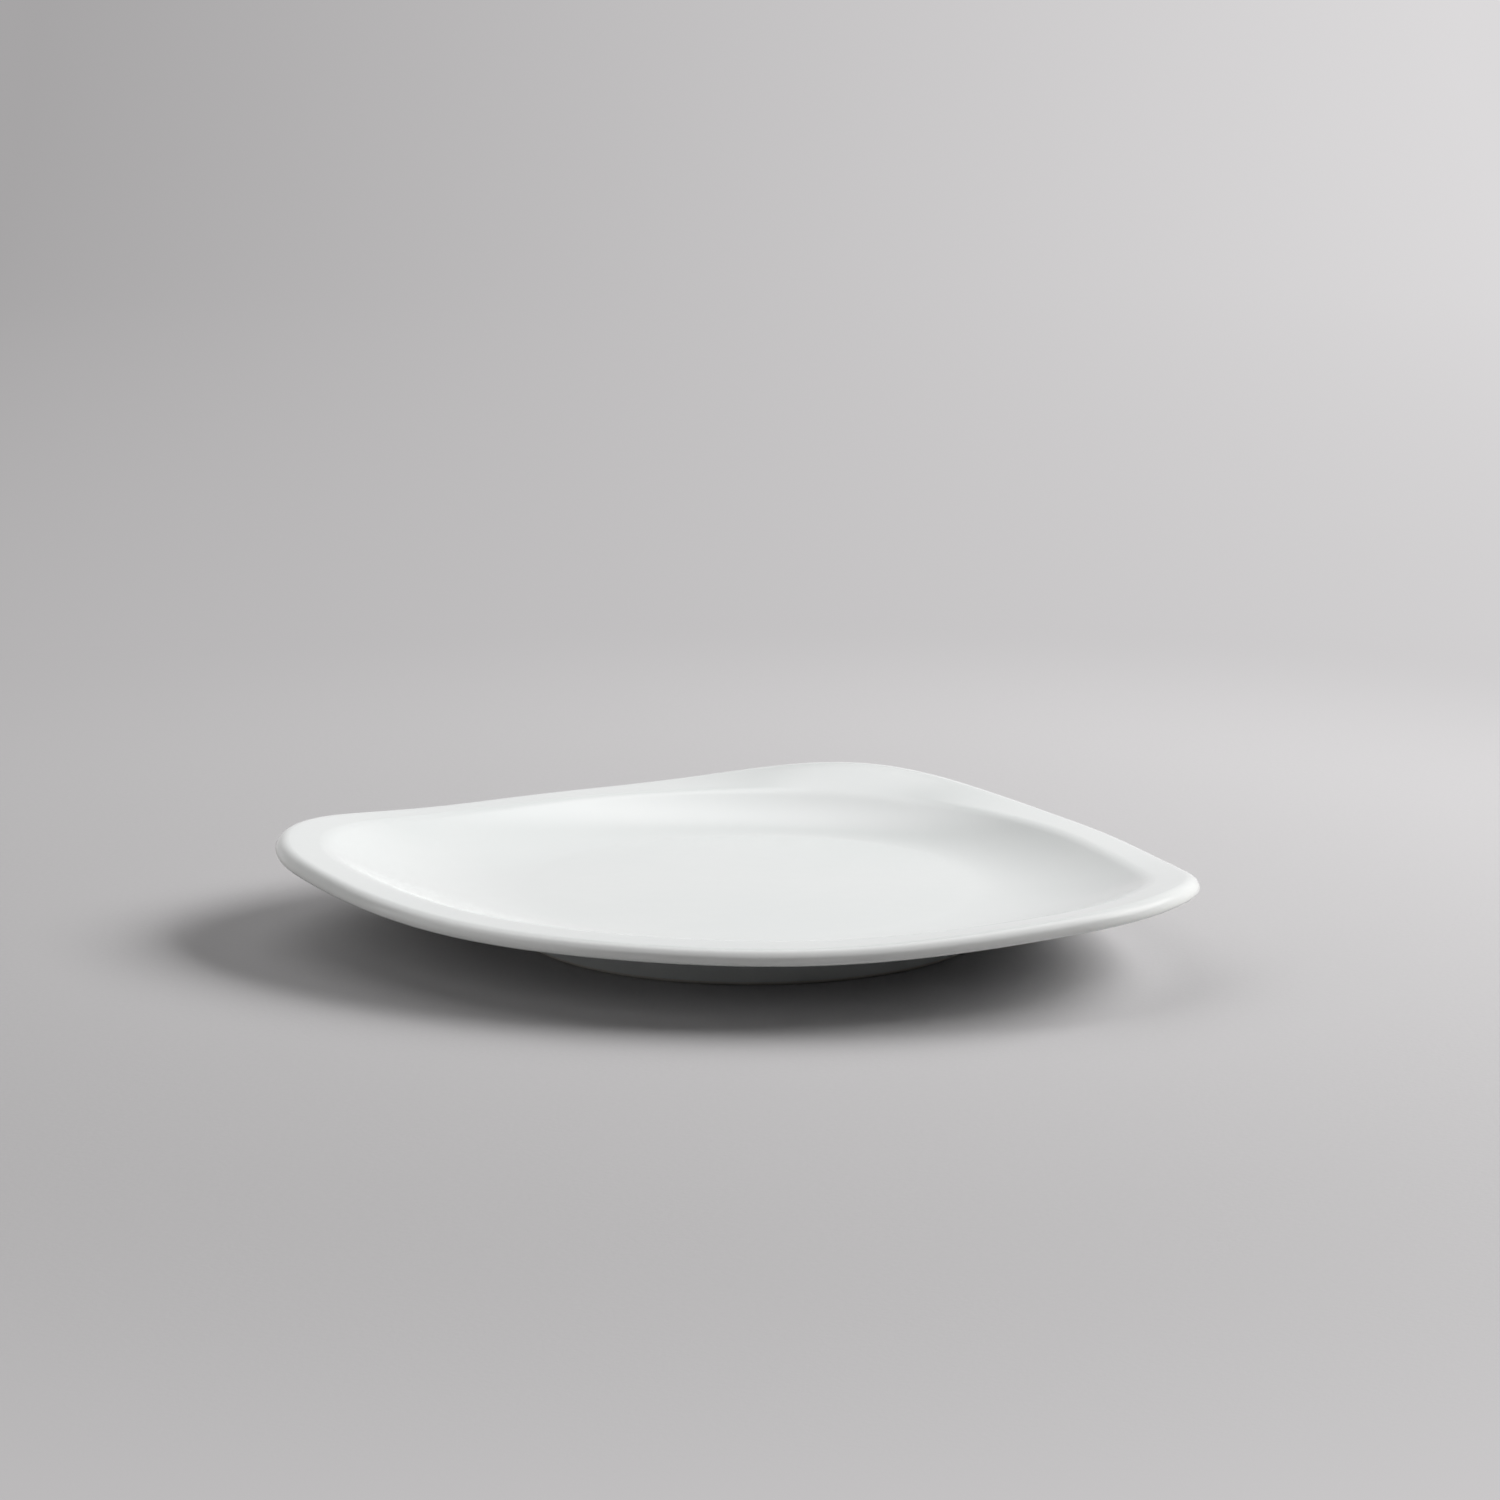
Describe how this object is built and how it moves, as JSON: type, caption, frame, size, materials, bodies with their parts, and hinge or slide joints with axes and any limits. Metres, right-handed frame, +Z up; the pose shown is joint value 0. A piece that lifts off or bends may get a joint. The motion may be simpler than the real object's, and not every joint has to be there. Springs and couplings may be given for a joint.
{
  "type": "dessert plate",
  "caption": "Three-cornered dessert plate of white glazed porcelain with lifted corners, a shallow well and a round foot ring.",
  "frame": {"origin": "middle of the foot ring, on the surface that the plate stands on", "axes": "+X to the right-hand corner, +Y to the back corner, +Z up"},
  "size_m": [0.206, 0.172, 0.0211],
  "materials": {
    "porcelain": "bare fired porcelain, fine and matt",
    "glaze": "smooth gloss glaze, cool white"
  },
  "bodies": {
    "root": {"porcelain_body": "porcelain", "foot_ring": "porcelain", "face_glaze": "glaze", "back_glaze": "glaze", "foot_wall_glaze": "glaze", "foot_well_glaze": "glaze"}
  },
  "joints": []
}
